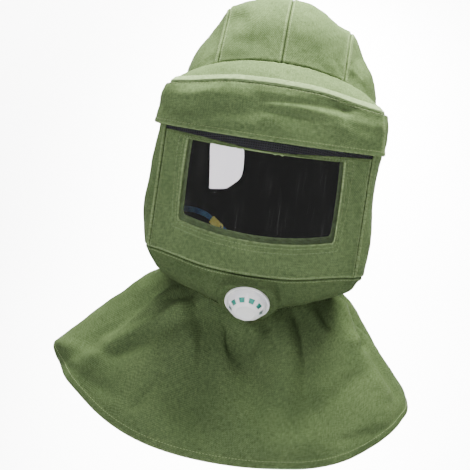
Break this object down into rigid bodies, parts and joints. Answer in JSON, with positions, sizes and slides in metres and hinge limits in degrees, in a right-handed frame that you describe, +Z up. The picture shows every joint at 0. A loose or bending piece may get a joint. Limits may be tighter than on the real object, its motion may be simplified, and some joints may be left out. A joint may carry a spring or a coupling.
{
  "type": "sandblasting hood",
  "caption": "Canvas blasting hood with a sewn crown, a boxed face with a curved clear window under a brow flap, a round exhalation valve at the chin and a shoulder cape.",
  "frame": {"origin": "the point inside the crown that rests on top of the wearer's head", "axes": "+Z up through the crown, -Y the way the wearer faces, +X to the wearer's left"},
  "size_m": [0.3884, 0.3368, 0.4694],
  "materials": {
    "canvas_green": "woven cotton canvas",
    "canvas_band": "woven cotton tape",
    "mesh_black": "knitted mesh",
    "lining_black": "napped lining cloth",
    "lens_clear": "clear polycarbonate sheet",
    "plastic_white": "satin moulded plastic",
    "rubber_teal": "moulded silicone",
    "webbing_blue": "woven webbing",
    "plastic_yellow": "moulded plastic"
  },
  "bodies": {
    "root": {"crown_panel_left": "canvas_green", "crown_panel_right": "canvas_green", "crown_side_left": "canvas_green", "crown_side_right": "canvas_green", "hood_side_left": "canvas_green", "hood_side_right": "canvas_green", "brow_panel": "canvas_green", "brow_mesh": "mesh_black", "gusset_left": "canvas_green", "piping_left": "canvas_green", "gusset_right": "canvas_green", "piping_right": "canvas_green", "brow_band": "canvas_band", "brow_flap": "canvas_green", "face_panel": "canvas_green", "window_lens": "lens_clear", "window_facing": "canvas_green", "chin_panel": "canvas_green", "valve_base": "plastic_white", "valve_ring": "plastic_white", "valve_cap": "plastic_white", "valve_membrane": "rubber_teal", "lining": "lining_black", "chin_strap": "webbing_blue", "strap_buckle": "plastic_yellow", "cape": "canvas_green"}
  },
  "joints": []
}
